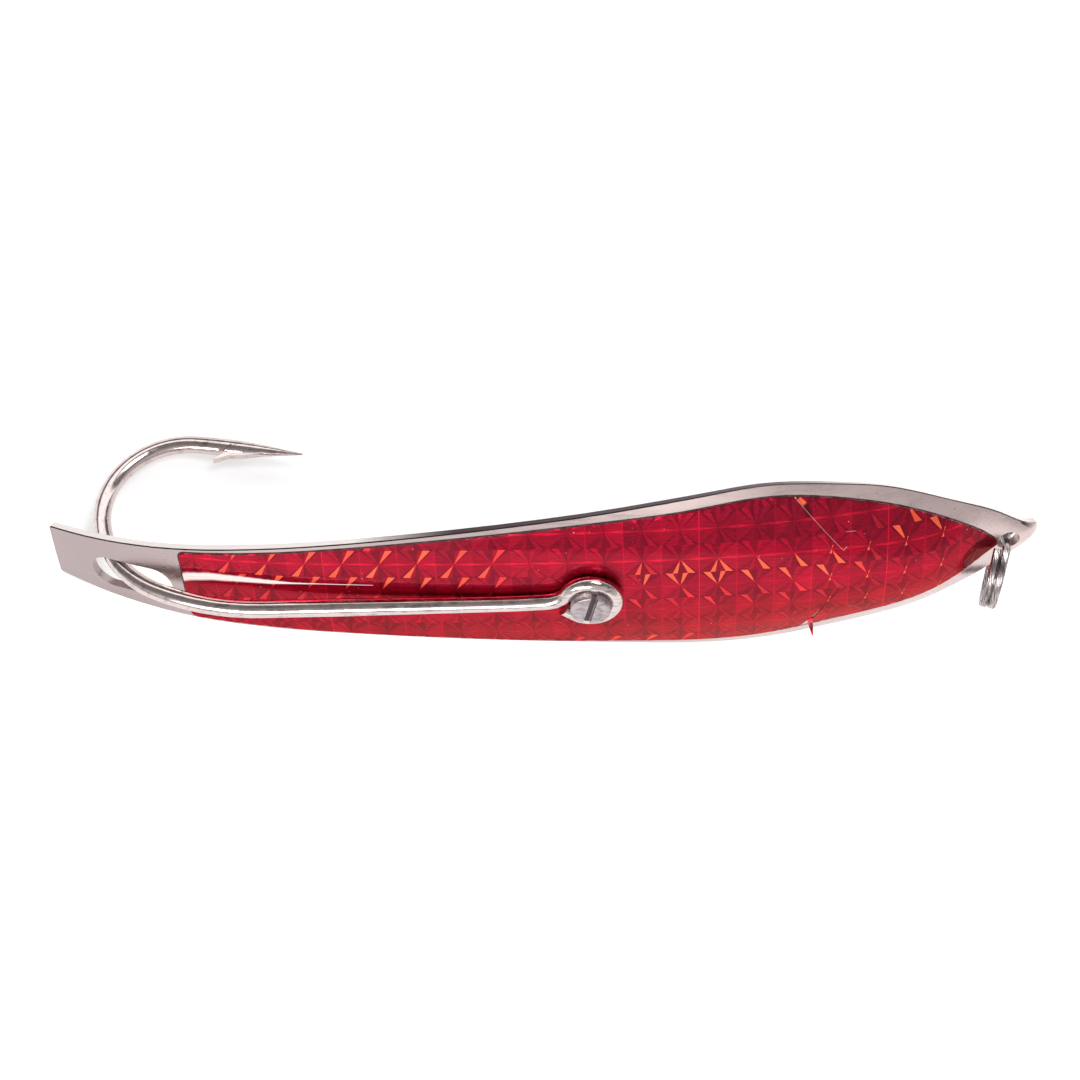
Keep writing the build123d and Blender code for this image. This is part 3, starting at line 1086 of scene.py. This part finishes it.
@dataclass
class PrismFilm:
    """The prism film: a sheet of pressed stars, cut to the tape's outline and laid on its node.

    Sizes are in millimetres, and border, border_rise and seam_stops are in cells. Facets take
    their tone from their kind, a wave that turns by column, row and place in the cell, and a
    jitter. Painted light goes into the tones too: a painted highlight on the lit rows' beams and
    on every few columns' seams, painted shade on the upper rows, and painted glints on some facets
    and at the tips towards the nose.
    """

    frame: BladeFrame
    skin: Skin
    cell: float = 6.8
    columns: int = 24
    columns_behind: int = 2
    rows: int = 7
    seam_at: float = -61.716
    star_at: float = 1.46
    wrap_radius: float = 50.0
    sheet: float = 0.10
    sunk: float = 0.03
    relief: float = 0.04
    merge: float = 0.01
    cuts: int = 2
    border: Triple = (0.07, 0.21, 0.40)
    border_rise: Triple = (1.0, -1.0, 0.8)
    seam_stops: tuple[float, ...] = (-0.2, -0.045, 0.045, 0.2)
    seam: float = 0.14
    tip_size: float = 0.95
    wave: float = 0.09
    wave_turns: Triple = (0.9, 2.1, 5.0)
    jitter: float = 0.08
    # painted highlight on the beams of the lit rows, and painted shade on the rows above
    lit_rows: tuple[int, ...] = (1, 2)
    lit_beam: float = 0.30
    row_shade: float = 0.13
    # painted highlight on every fifth seam
    bright_seams: int = 5
    first_bright: int = 2
    bright_seam: float = 0.95
    # painted glints, each on one kind of facet over a stretch of the film
    glints: tuple[Glint, ...] = (
        Glint(Facet.OUTER_RISING, (-42.0, 25.0), (6.3, 5.2)),
        Glint(Facet.OUTER_RISING, (-36.0, 36.0), (-3.0, 3.4), 0.17),
        Glint(Facet.INNER_RISING, (16.5, 9.0), (4.8, 3.4)),
        Glint(Facet.OUTER_FALLING, (31.0, 18.0), (4.8, 3.4)),
        Glint(Facet.OUTER_FALLING, (26.0, 23.0), (-2.0, 2.4), 0.17),
        Glint(Facet.OUTER_FALLING, (60.0, 7.0), (12.5, 3.0), 0.95),
        Glint(Facet.OUTER_RISING, (3.0, 16.0), (-18.0, 1.6), 0.7))
    glint_jitter: Pair = (0.75, 1.3)
    # how far a painted glint lifts the tone
    glint_tone: float = 5.0
    # painted glints at the tips of the stars towards the nose
    sparks_from: float = 41.0
    spark_rows: int = 2
    spark: float = 0.95
    dull_tip: float = 0.3
    slit: tuple[Pair, ...] = ((45.62, -1.5), (42.95, -7.35), (40.55, -12.6), (37.0, -19.5),
                              (40.9, -19.5), (40.8, -13.4), (43.08, -7.4), (45.7, -1.55))
    slit_half: float = 2.0

    def border_points(self) -> list[Vector]:
        """Where the star's facets end on the cell's border, with their rise.

        Returns:
            Points on a cell of size 1, sorted by their angle round the star.
        """
        points = [Vector((side / 2, stop, 0)) for side in (-1, 1) for stop in self.seam_stops]
        for edge in (-1, 1):
            points += [Vector((side / 2, edge / 2, 0)) for side in (-1, 1)]
            for stop, rise in zip(self.border, self.border_rise):
                points += [Vector((side * stop, edge / 2, side * rise)) for side in (-1, 1)]
        return sorted(points, key=bearing)

    def star(self) -> Piece:
        """Models one star as a fan of facets, with a seam beside it and a flat tip.

        Returns:
            The star, at the sheet's first corner.
        """
        points = self.border_points()
        bpy.ops.mesh.primitive_circle_add(vertices=len(points), radius=1, fill_type="TRIFAN")
        piece = named("prism_film")
        rim = [vertex for vertex in piece.data.vertices if vertex.co.length > 0.5]
        rim.sort(key=lambda vertex: bearing(vertex.co))
        width = self.cell - self.seam
        for vertex, point in zip(rim, points):
            vertex.co = Vector((point.x * width, point.y * self.cell, point.z * self.relief))
        with editing(piece):
            pick(piece, lambda place: place.x > width / 2 - self.merge)
            extrude((self.seam, 0, 0))
            pick(piece, lambda place: place.length < self.merge)
            bpy.ops.mesh.select_mode(type="VERT")
            bpy.ops.mesh.bevel(offset=self.tip_size, affect="VERTICES")
            bpy.ops.mesh.poke()
        piece.data.transform(Matrix.Translation((-self.seam / 2, 0, 0)))
        first_x = self.seam_at + self.cell / 2 - self.columns_behind * self.cell
        first_y = self.star_at - (self.rows // 2) * self.cell
        piece.data.transform(Matrix.Translation((first_x, first_y, 0)))
        return piece

    def pressed_sheet(self) -> Piece:
        """Repeats the star over the sheet and gives it a thickness.

        Returns:
            A closed flat slab with stars on its top.
        """
        piece = self.star()
        for count, step in ((self.columns, (self.cell, 0, 0)), (self.rows, (0, self.cell, 0))):
            apply_modifier(piece, "ARRAY", count=count, use_relative_offset=False,
                           use_constant_offset=True, constant_offset_displace=step,
                           use_merge_vertices=True, merge_threshold=self.merge)
        with editing(piece):
            bpy.ops.mesh.remove_doubles(threshold=self.merge)
            extrude((0, 0, -self.sheet))
            face_outwards()
        for vertex in piece.data.vertices:
            vertex.co.y = self.wrap_radius * math.sin(vertex.co.y / self.wrap_radius)
        return piece

    def cut(self, piece: Piece) -> None:
        """Cuts the flat film along the slit, which opens to a bare triangle at the lower edge.

        Args:
            piece: The flat film.
        """
        bpy.ops.mesh.primitive_circle_add(vertices=len(self.slit), radius=1, fill_type="NGON")
        blade = named("film_cutter")
        for vertex, (x, y) in zip(blade.data.vertices, self.slit):
            vertex.co = Vector((x, y, -self.slit_half))
        with editing(blade):
            extrude((0, 0, 2 * self.slit_half))
            face_outwards()
        carve(piece, blade, "DIFFERENCE")

    def look_of(self, x: float, y: float) -> Pair:
        """Tone and painted glint of the facet that holds a place of the flat sheet.

        Args:
            x: Place along the blade.
            y: Place across the film, measured over its curve.

        Returns:
            The tone and the painted glint, each from 0 to 1.
        """
        column = (x - self.seam_at) / self.cell
        row = (y - self.star_at) / self.cell + 0.5
        number, level = math.floor(column), math.floor(row)
        across, up = column - number - 0.5, row - level - 0.5
        draws = random.Random(f"{number} {level}")
        kind = self.kind_of(across, up)
        by_column, by_row, by_place = self.wave_turns
        wave = self.wave * math.sin(by_column * number + by_row * level + by_place * across)
        tone = kind.value + wave + draws.uniform(-self.jitter, self.jitter)
        # painted highlight on the beams of the lit rows
        if kind is Facet.BEAM and level in self.lit_rows:
            tone += self.lit_beam
        # painted shade on the upper rows
        tone -= self.row_shade * max(0, level - 1)
        # painted highlight on every fifth seam
        if kind is Facet.SEAM and round(column) % self.bright_seams == self.first_bright:
            tone = self.bright_seam
        # painted glints
        glint = 0.0
        for one in self.glints:
            if kind is one.facet:
                glint = max(glint, one.at(x, y) * draws.uniform(*self.glint_jitter))
        # painted glints at the tips, dimmer elsewhere
        if math.hypot(across, up) * self.cell < self.tip_size:
            sparks = kind in (Facet.CORE, Facet.INNER_RISING) and across * up > 0
            forward = x > self.sparks_from and abs(level) < self.spark_rows
            glint = self.spark if sparks and forward else self.dull_tip * glint
        tone = max(tone, self.glint_tone * glint)
        return min(1.0, max(0.0, tone)), min(1.0, glint)

    def kind_of(self, across: float, up: float) -> Facet:
        """The kind of facet at a place of one cell.

        Args:
            across: Place along the blade from the star's centre, in cells.
            up: Place across the blade from the star's centre, in cells.

        Returns:
            The facet's kind.
        """
        if abs(across) > 0.5 - self.seam / self.cell / 2:
            return Facet.SEAM
        if abs(across) > abs(up):
            reach = abs(up / across) / 2
            return Facet.BEAM if reach < self.seam_stops[2] else Facet.FLANK
        reach = abs(across / up) / 2
        rising = across * up > 0
        core, inner, outer = self.border
        if reach < core:
            return Facet.CORE
        if reach < inner:
            return Facet.INNER_RISING if rising else Facet.INNER_FALLING
        if reach < outer:
            return Facet.OUTER_RISING if rising else Facet.OUTER_FALLING
        return Facet.CORNER

    def paint(self, piece: Piece) -> None:
        """Writes each facet's tone, painted glint and edge, while the film is still flat.

        Args:
            piece: The flat film.
        """
        colours = piece.data.color_attributes.new("facet", "FLOAT_COLOR", "CORNER")
        for face in piece.data.polygons:
            y = self.wrap_radius * math.asin(face.center.y / self.wrap_radius)
            tone, glint = self.look_of(face.center.x, y)
            edge = 1.0 if abs(face.normal.z) < 0.5 else 0.0
            for corner in face.loop_indices:
                colours.data[corner].color = (tone, glint, edge, 1)

    def drape(self, piece: Piece) -> None:
        """Lays the flat film on the tape's outer face and stores that face's smooth normals.

        Args:
            piece: The flat film.
        """
        lies = piece.data.attributes.new("film_lie", "FLOAT_VECTOR", "POINT")
        turn = self.frame.matrix.to_3x3()
        for vertex in piece.data.vertices:
            x, y, rise = vertex.co
            normal = self.skin.normal(x, y)
            vertex.co = Vector((x, y, self.skin.height(x, y))) + normal * (rise - self.sunk)
            lies.data[vertex.index].vector = (turn @ normal).normalized()
        piece.data.update()

    def build(self) -> Piece:
        """Models the film, cuts it, paints it and lays it down.

        Returns:
            The film.
        """
        piece = self.pressed_sheet()
        carve(piece, outline_block(self.frame, "film_outline", 1.0), "INTERSECT")
        self.cut(piece)
        self.paint(piece)
        refine(piece, self.cuts)
        self.drape(piece)
        self.frame.lay(piece)
        return piece


@dataclass
class DarkEdgeLine:
    """The dark line that shows just outside the film's edge, in millimetres."""

    frame: BladeFrame
    skin: Skin
    width: float = 0.27
    rise: float = 0.03
    thickness: float = 0.08
    screw_reach: float = 3.0
    cuts: int = 2

    def outline(self) -> list[Vector]:
        """Finds the tape's outline, without its screw hole.

        Returns:
            The outline's points in their order round the blade.
        """
        block = outline_block(self.frame, "glue_outline", 0.5)
        uses: dict[tuple[int, int], int] = {}
        for face in block.data.polygons:
            if face.normal.z > 0.5:
                for key in face.edge_keys:
                    uses[key] = uses.get(key, 0) + 1
        ends = {end for key, count in uses.items() if count == 1 for end in key}
        points = [block.data.vertices[end].co.to_2d().to_3d() for end in ends]
        bpy.data.objects.remove(block)
        return sorted((point for point in points if point.length > self.screw_reach), key=bearing)

    def build(self) -> Piece:
        """Models the line as a thin ring round the film's outline, lying on the steel.

        Returns:
            The ring.
        """
        points = self.outline()
        bpy.ops.mesh.primitive_circle_add(vertices=len(points), radius=1, fill_type="NOTHING")
        piece = named("glue_line")
        vertices = piece.data.vertices
        for vertex, point in zip(sorted(vertices, key=lambda one: bearing(one.co)), points):
            vertex.co = point
        with editing(piece):
            bpy.ops.mesh.subdivide(number_cuts=self.cuts)
            extrude((0, 0, 1))
            face_outwards()
        asides = [vertex.normal.copy() for vertex in piece.data.vertices]
        for vertex, aside in zip(piece.data.vertices, asides):
            if vertex.co.z > 0.5:
                outwards = aside.dot(vertex.co.to_2d().to_3d())
                vertex.co += aside * math.copysign(self.width, outwards)
        for vertex in piece.data.vertices:
            vertex.co.z = self.skin.height(vertex.co.x, vertex.co.y) + self.rise
        piece.data.update()
        apply_modifier(piece, "SOLIDIFY", thickness=self.thickness, offset=0.0)
        clean_up(piece)
        self.frame.lay(piece)
        return piece


@dataclass
class TornSliver:
    """A sliver of film that has lifted beside the slit and curls out past the lower edge.

    Its root width tapers to the end, times a belly: the least, the swell and the swell's turn.
    """

    frame: BladeFrame
    skin: Skin
    root: Pair = (40.5, -12.9)
    end: Pair = (41.1, -17.5)
    root_width: float = 1.25
    taper: float = 0.82
    belly: Triple = (0.75, 0.5, 2.6)
    sweep_power: float = 1.6
    clear: float = 0.02
    lift: float = 1.5
    lift_power: float = 1.7
    hump: float = 0.25
    hump_end: float = 0.4
    steps: int = 8
    thickness: float = 0.1
    smooth_angle: float = 50.0

    def build(self) -> Piece:
        """Models the sliver as a tapered strip that leaves the film in a curl.

        Returns:
            The sliver.
        """
        bpy.ops.mesh.primitive_grid_add(x_subdivisions=2, y_subdivisions=self.steps, size=1)
        piece = named("torn_sliver")
        least, swell, turn = self.belly
        run_x, run_y = (end - root for root, end in zip(self.root, self.end))
        for vertex in piece.data.vertices:
            share = vertex.co.y + 0.5
            width = self.root_width * (1 - self.taper * share)
            width *= least + swell * math.sin(turn * share)
            x = self.root[0] + run_x * share ** self.sweep_power + vertex.co.x * width
            y = self.root[1] + run_y * share
            hump = self.hump * math.sin(math.pi * min(1.0, share / self.hump_end))
            curl = self.lift * share ** self.lift_power + hump
            vertex.co = Vector((x, y, self.skin.height(x, y) + self.clear + curl))
        piece.data.update()
        apply_modifier(piece, "SOLIDIFY", thickness=self.thickness, offset=1.0)
        clean_up(piece)
        smooth(piece, self.smooth_angle)
        self.frame.lay(piece)
        return piece


@dataclass
class ScrewThread:
    """The rolled thread on the screw's hidden end."""

    frame: BladeFrame
    radius: float = 2.0
    pitch: float = 0.7
    sunk: float = 0.06
    crest: float = 0.13
    half_width: float = 0.26
    top: float = -2.8
    turns: int = 9
    steps: int = 28
    smooth_angle: float = 40.0

    def build(self) -> Piece:
        """Models the thread as one helical ridge.

        Returns:
            The ridge.
        """
        bpy.ops.mesh.primitive_circle_add(vertices=3, radius=1, fill_type="NGON")
        piece = named("screw_thread")
        inner, outer = self.radius - self.sunk, self.radius + self.crest
        corners = ((inner, -self.half_width), (inner, self.half_width), (outer, 0.0))
        for vertex, (out, up) in zip(piece.data.vertices, corners):
            vertex.co = Vector((out, 0, up))
        apply_modifier(piece, "SCREW", angle=math.tau, screw_offset=-self.pitch,
                       iterations=self.turns, steps=self.steps, render_steps=self.steps, axis="Z")
        piece.data.transform(Matrix.Translation((0, 0, self.top)))
        clean_up(piece)
        smooth(piece, self.smooth_angle)
        self.frame.lay(piece)
        return piece


# ---- The studio ----


@dataclass(frozen=True)
class SoftBox:
    """A soft box that faces the object.

    Args:
        name: The lamp's name.
        stand: Where it stands, in metres.
        size: Its width and height, in metres.
        power: Its power in watts.
    """

    name: str
    stand: Triple
    size: Pair
    power: float

    def build(self) -> None:
        """Adds the lamp."""
        data = bpy.data.lights.new(self.name, "AREA")
        data.shape = "RECTANGLE"
        data.size, data.size_y = self.size
        data.energy = self.power
        lamp = bpy.data.objects.new(self.name, data)
        bpy.context.scene.collection.objects.link(lamp)
        lamp.location = self.stand
        lamp.rotation_euler = (-Vector(self.stand)).to_track_quat("-Z", "Y").to_euler()


@dataclass
class Studio:
    """The pale table, the light and the camera.

    The viewpoint and aim are in millimetres of the blade's frame. The barrel is the world's light
    round the X axis: a share of the half turn and the light's level there.
    """

    frame: BladeFrame
    viewpoint: Triple = (10.51, 380.62, 310.02)
    aim: Triple = (-8.95, 6.7, -7.3)
    upright: Triple = (0.0217, 0.6462, -0.7628)
    lens: float = 89.83
    sensor: float = 36.0
    nearest: float = 0.01
    table_size: float = 3.0
    table_colour: Colour = (0.72, 0.72, 0.72, 1)
    table_rough: float = 0.9
    table_lift: float = 0.46
    white: Colour = (1, 1, 1, 1)
    brightest: float = 2.2
    barrel: tuple[Pair, ...] = ((0.0, 0.85), (0.30, 0.80), (0.38, 0.42), (0.50, 0.30),
                                (0.70, 0.28), (0.73, 2.1), (0.83, 2.1), (0.87, 0.2), (1.0, 0.3))
    lamps: tuple[SoftBox, ...] = (SoftBox("key_box", (-0.35, -0.75, 0.55), (0.7, 0.3), 6.0),
                                  SoftBox("top_box", (0.3, 0.25, 0.95), (0.5, 0.3), 4.0))

    def camera(self) -> None:
        """Places the camera by its viewpoint, aim and upright direction in the blade's frame."""
        data = bpy.data.cameras.new("camera")
        camera = bpy.data.objects.new("camera", data)
        bpy.context.scene.collection.objects.link(camera)
        stand = self.frame.point(*self.viewpoint)
        back = (stand - self.frame.point(*self.aim)).normalized()
        right = self.frame.way(*self.upright).cross(back).normalized()
        turn = Matrix((right, back.cross(right), back)).transposed().to_4x4()
        camera.matrix_world = Matrix.Translation(stand) @ turn
        data.lens = self.lens
        data.sensor_width = self.sensor
        data.clip_start = self.nearest
        bpy.context.scene.camera = camera

    def table(self) -> None:
        """Models the table top, white to the camera and in mirrors, with the object's shadow."""
        bpy.ops.mesh.primitive_plane_add(size=self.table_size)
        top = named("table_top")
        nodes = Nodes(bpy.data.materials.new("table_white"), self.frame)
        ray = nodes.add("ShaderNodeLightPath").outputs
        shown = nodes.most(ray["Is Camera Ray"], ray["Is Glossy Ray"], ray["Is Transmission Ray"])
        nodes.surface(Base_Color=self.table_colour, Roughness=self.table_rough,
                      Specular_IOR_Level=0.0, Emission_Color=self.white,
                      Emission_Strength=nodes.product(shown, self.table_lift))
        top.data.materials.append(nodes.owner)
        top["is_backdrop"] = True

    def sky(self) -> None:
        """Makes the world: white to the camera, and a barrel of light, shade and a soft box."""
        world = bpy.data.worlds.new("studio")
        bpy.context.scene.world = world
        nodes = Nodes(world, self.frame)
        way = nodes.split(nodes.add("ShaderNodeTexCoord").outputs["Generated"])
        turn = nodes.math("ARCTAN2", way["Z"], nodes.product(way["Y"], -1.0))
        places, levels = zip(*self.barrel)
        shares = [level / self.brightest for level in levels]
        barrel = nodes.ramp(nodes.math("DIVIDE", turn, math.pi), places,
                            *((share, share, share, 1) for share in shares))
        seen = nodes.add("ShaderNodeLightPath").outputs["Is Camera Ray"]
        level = nodes.mix(seen, nodes.product(barrel, self.brightest), 1.0, "FLOAT")
        light = nodes.add("ShaderNodeBackground", {"Strength": level})
        nodes.add("ShaderNodeOutputWorld", {"Surface": light.outputs["Background"]})

    def build(self) -> None:
        """Sets up the whole studio."""
        self.camera()
        self.table()
        self.sky()
        for lamp in self.lamps:
            lamp.build()
        bpy.context.scene.view_settings.view_transform = "Standard"


# ---- Main ----


def corners() -> list[list[float]]:
    """The shown object's box as plain lists."""
    return [list(corner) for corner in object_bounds()]


def main() -> None:
    """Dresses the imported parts, adds the scene's own pieces and sets up the studio."""
    logging.basicConfig(level=logging.INFO, format="%(name)s: %(message)s")
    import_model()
    frame = BladeFrame.from_hardware("hook_screw", "hex_nut", HEAD_TOP)

    turned = TurnedSteel().make(frame)
    finishes = {
        "blade": (RolledSteel().make(frame), Slot.BLADE),
        "hook": (BrightPlating().make(frame), Slot.HOOK),
        "hook_screw": (turned, Slot.FASTENER),
        "lock_washer": (turned, Slot.FASTENER),
        "hex_nut": (turned, Slot.FASTENER),
        "split_ring": (SpringChrome().make(frame), Slot.RING),
    }
    for node, (finish, slot) in finishes.items():
        dress(bpy.data.objects[node], finish)
        LOG.info("dressed %s", node)

    skin = Skin(frame, "prism_tape")
    film = PrismFilm(frame, skin).build()
    dress(film, PrismFoil().make(frame))
    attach(film, Body.SPOON.value)
    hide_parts("prism_tape")

    dark_edge = DarkEdgeLine(frame, Skin(frame, "blade")).build()
    dress(dark_edge, DarkEdgeFinish().make(frame))
    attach(dark_edge, Body.SPOON.value)

    sliver = TornSliver(frame, skin).build()
    dress(sliver, PlainFoil().make(frame))
    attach(sliver, Body.SPOON.value)

    thread = ScrewThread(frame).build()
    dress(thread, turned)
    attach(thread, Body.SPOON.value)

    for piece in (film, dark_edge, sliver, thread):
        LOG.info("built %s with %d faces", piece.name, len(piece.data.polygons))

    Studio(frame).build()


if __name__ == "__main__":
    main()
